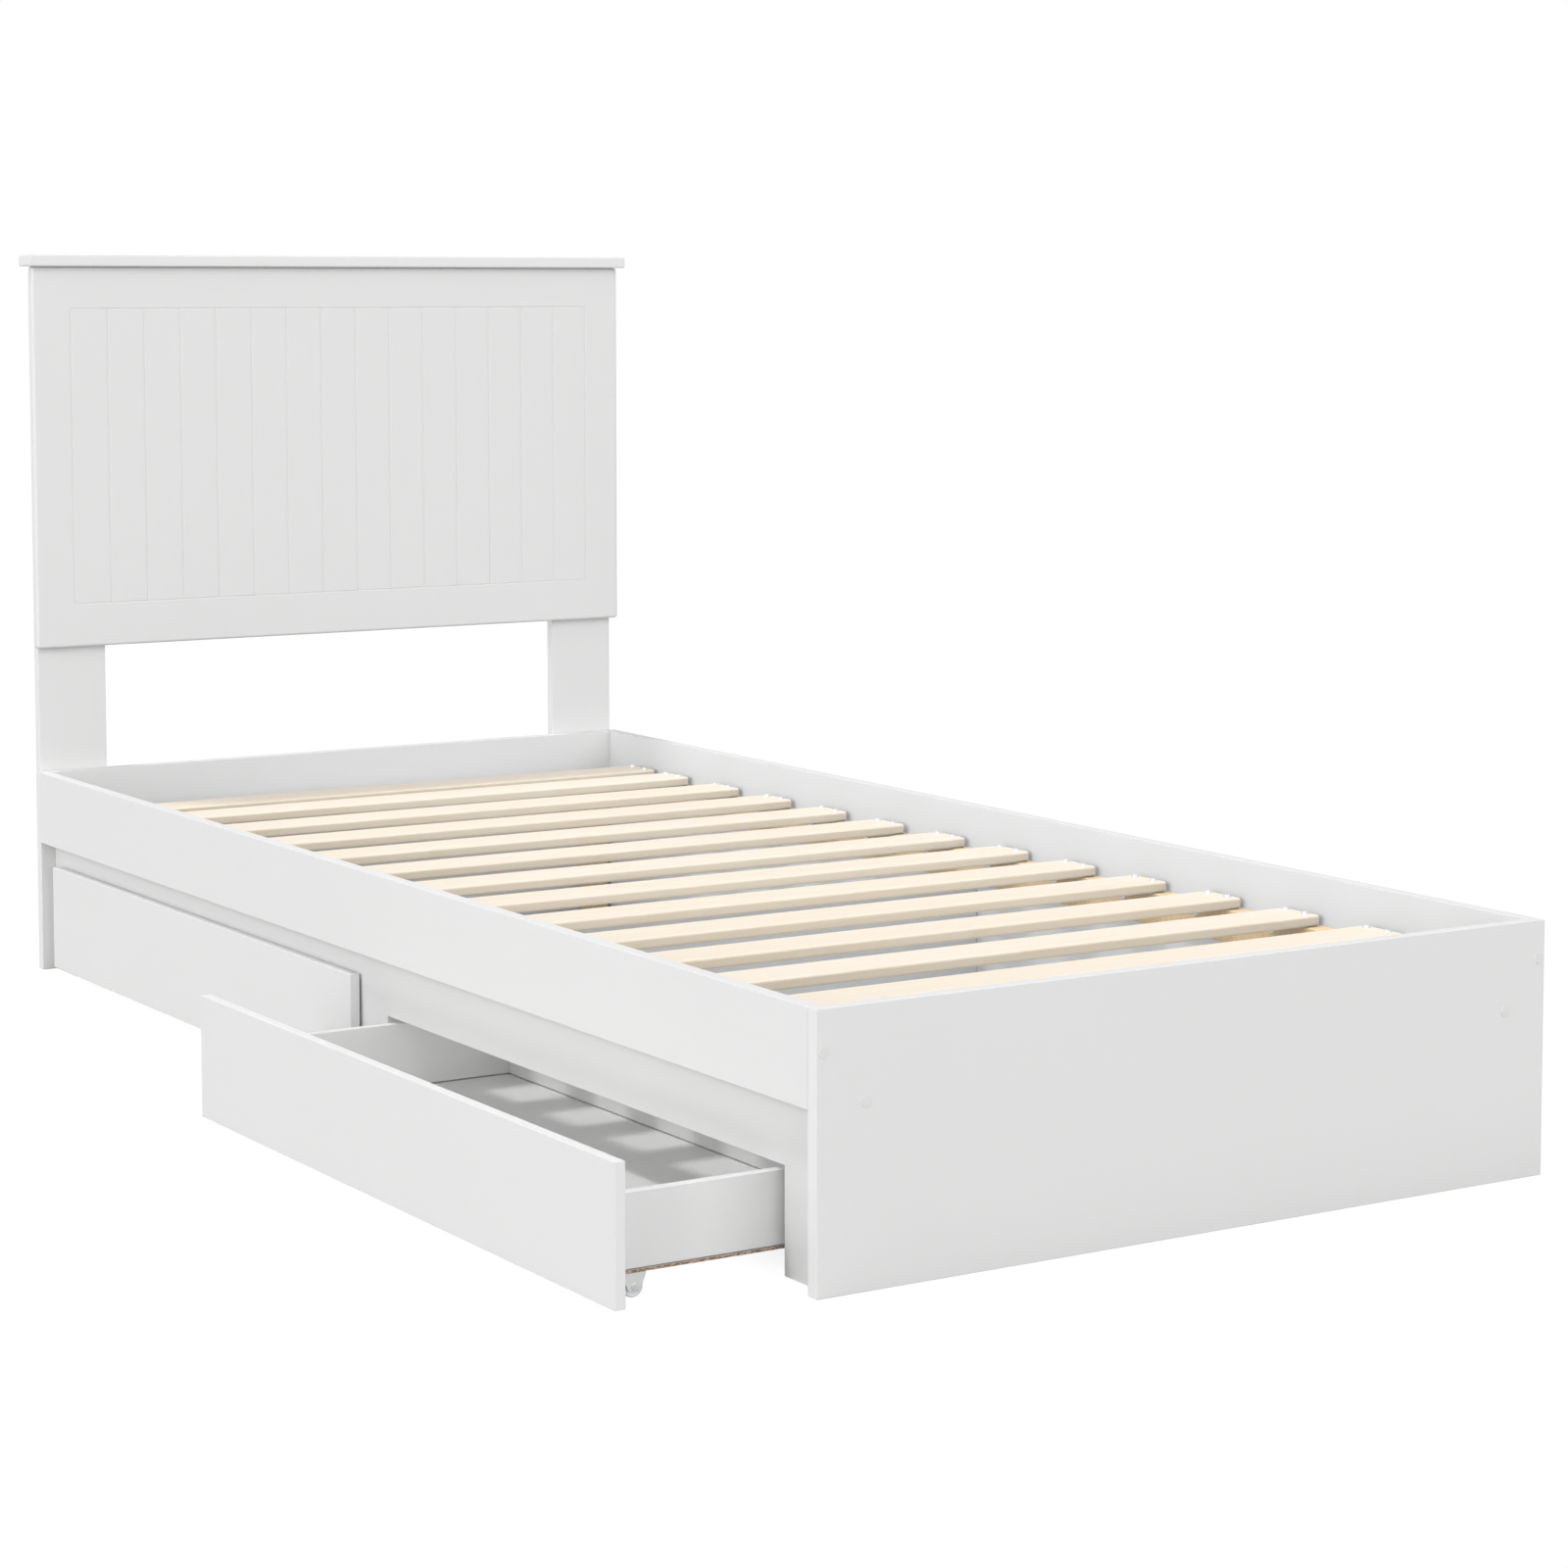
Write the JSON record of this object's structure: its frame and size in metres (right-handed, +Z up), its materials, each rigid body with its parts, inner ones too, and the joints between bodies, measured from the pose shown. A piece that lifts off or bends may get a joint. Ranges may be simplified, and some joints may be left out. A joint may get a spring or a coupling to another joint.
{
  "type": "bed frame",
  "caption": "Single bed frame of white boards with a slatted pine base, a grooved headboard with a cap, and under-bed drawers that roll out on castors on one long side.",
  "frame": {"origin": "on the floor at the centre of the box, which is the middle of the bay divider's lower face", "axes": "+Z up, +Y from the foot end to the head end, +X away from the drawers, which open towards -X"},
  "size_m": [1.1395, 2.0583, 1.0083],
  "materials": {
    "white_board": "satin white facing on board",
    "bare_pine": "planed, unfinished",
    "hardboard": "raw brown edge with a white face",
    "zinc_steel": "bright zinc plating",
    "grey_nylon": "moulded, pale grey",
    "white_plastic": "moulded"
  },
  "bodies": {
    "bed_frame": {"footboard": "white_board", "head_end_board": "white_board", "side_rail_left": "white_board", "side_rail_right": "white_board", "base_panel_left": "white_board", "base_panel_right": "white_board", "bay_divider": "white_board", "corner_post_foot_left": "bare_pine", "corner_post_foot_right": "bare_pine", "corner_post_head_left": "bare_pine", "corner_post_head_right": "bare_pine", "headboard_panel": "white_board", "headboard_cap": "white_board", "headboard_leg_left": "white_board", "headboard_leg_right": "white_board", "slat_batten_left": "bare_pine", "slat_batten_right": "bare_pine", "slat_01": "bare_pine", "slat_02": "bare_pine", "slat_03": "bare_pine", "slat_04": "bare_pine", "slat_05": "bare_pine", "slat_06": "bare_pine", "slat_07": "bare_pine", "slat_08": "bare_pine", "slat_09": "bare_pine", "slat_10": "bare_pine", "slat_11": "bare_pine", "slat_12": "bare_pine", "slat_13": "bare_pine", "slat_14": "bare_pine"},
    "foot_drawer": {"foot_drawer_front": "white_board", "foot_drawer_side_foot": "white_board", "foot_drawer_side_head": "white_board", "foot_drawer_back": "white_board", "foot_drawer_bottom": "hardboard", "foot_drawer_castor_fork_front_a": "white_plastic", "foot_drawer_castor_fork_front_b": "white_plastic", "foot_drawer_castor_fork_rear_a": "white_plastic", "foot_drawer_castor_fork_rear_b": "white_plastic"},
    "head_drawer": {"head_drawer_front": "white_board", "head_drawer_side_foot": "white_board", "head_drawer_side_head": "white_board", "head_drawer_back": "white_board", "head_drawer_bottom": "hardboard", "head_drawer_castor_fork_front_a": "white_plastic", "head_drawer_castor_fork_front_b": "white_plastic", "head_drawer_castor_fork_rear_a": "white_plastic", "head_drawer_castor_fork_rear_b": "white_plastic"},
    "foot_drawer_wheel_front_a": {"foot_drawer_castor_wheel_front_a": "grey_nylon"},
    "foot_drawer_wheel_front_b": {"foot_drawer_castor_wheel_front_b": "grey_nylon"},
    "foot_drawer_wheel_rear_a": {"foot_drawer_castor_wheel_rear_a": "grey_nylon"},
    "foot_drawer_wheel_rear_b": {"foot_drawer_castor_wheel_rear_b": "grey_nylon"},
    "head_drawer_wheel_front_a": {"head_drawer_castor_wheel_front_a": "grey_nylon"},
    "head_drawer_wheel_front_b": {"head_drawer_castor_wheel_front_b": "grey_nylon"},
    "head_drawer_wheel_rear_a": {"head_drawer_castor_wheel_rear_a": "grey_nylon"},
    "head_drawer_wheel_rear_b": {"head_drawer_castor_wheel_rear_b": "grey_nylon"}
  },
  "joints": [
    {"name": "foot_drawer_slide", "type": "slide", "parent": "bed_frame", "child": "foot_drawer", "axis": [-1, 0, 0], "range_m": [-0.201, 0.139]},
    {"name": "head_drawer_slide", "type": "slide", "parent": "bed_frame", "child": "head_drawer", "axis": [-1, 0, 0], "range_m": [0, 0.34]},
    {"name": "foot_drawer_wheel_front_a_spin", "type": "hinge", "parent": "foot_drawer", "child": "foot_drawer_wheel_front_a", "pos_m": [-0.611, -0.914, 0.011], "axis": [0, -1, 0], "range_deg": [-1050, 730]},
    {"name": "foot_drawer_wheel_front_b_spin", "type": "hinge", "parent": "foot_drawer", "child": "foot_drawer_wheel_front_b", "pos_m": [-0.611, -0.074, 0.011], "axis": [0, -1, 0], "range_deg": [-1050, 730]},
    {"name": "foot_drawer_wheel_rear_a_spin", "type": "hinge", "parent": "foot_drawer", "child": "foot_drawer_wheel_rear_a", "pos_m": [-0.321, -0.914, 0.011], "axis": [0, -1, 0], "range_deg": [-1050, 730]},
    {"name": "foot_drawer_wheel_rear_b_spin", "type": "hinge", "parent": "foot_drawer", "child": "foot_drawer_wheel_rear_b", "pos_m": [-0.321, -0.074, 0.011], "axis": [0, -1, 0], "range_deg": [-1050, 730]},
    {"name": "head_drawer_wheel_front_a_spin", "type": "hinge", "parent": "head_drawer", "child": "head_drawer_wheel_front_a", "pos_m": [-0.41, 0.074, 0.011], "axis": [0, -1, 0], "range_deg": [0, 1775]},
    {"name": "head_drawer_wheel_front_b_spin", "type": "hinge", "parent": "head_drawer", "child": "head_drawer_wheel_front_b", "pos_m": [-0.41, 0.914, 0.011], "axis": [0, -1, 0], "range_deg": [0, 1775]},
    {"name": "head_drawer_wheel_rear_a_spin", "type": "hinge", "parent": "head_drawer", "child": "head_drawer_wheel_rear_a", "pos_m": [-0.12, 0.074, 0.011], "axis": [0, -1, 0], "range_deg": [0, 1775]},
    {"name": "head_drawer_wheel_rear_b_spin", "type": "hinge", "parent": "head_drawer", "child": "head_drawer_wheel_rear_b", "pos_m": [-0.12, 0.914, 0.011], "axis": [0, -1, 0], "range_deg": [0, 1775]}
  ],
  "couplings": [
    {"joint": "foot_drawer_wheel_front_a_spin", "follows": "foot_drawer_slide", "rad_per_m": 90.909},
    {"joint": "foot_drawer_wheel_front_b_spin", "follows": "foot_drawer_slide", "rad_per_m": 90.909},
    {"joint": "foot_drawer_wheel_rear_a_spin", "follows": "foot_drawer_slide", "rad_per_m": 90.909},
    {"joint": "foot_drawer_wheel_rear_b_spin", "follows": "foot_drawer_slide", "rad_per_m": 90.909},
    {"joint": "head_drawer_wheel_front_a_spin", "follows": "head_drawer_slide", "rad_per_m": 90.909},
    {"joint": "head_drawer_wheel_front_b_spin", "follows": "head_drawer_slide", "rad_per_m": 90.909},
    {"joint": "head_drawer_wheel_rear_a_spin", "follows": "head_drawer_slide", "rad_per_m": 90.909},
    {"joint": "head_drawer_wheel_rear_b_spin", "follows": "head_drawer_slide", "rad_per_m": 90.909}
  ]
}
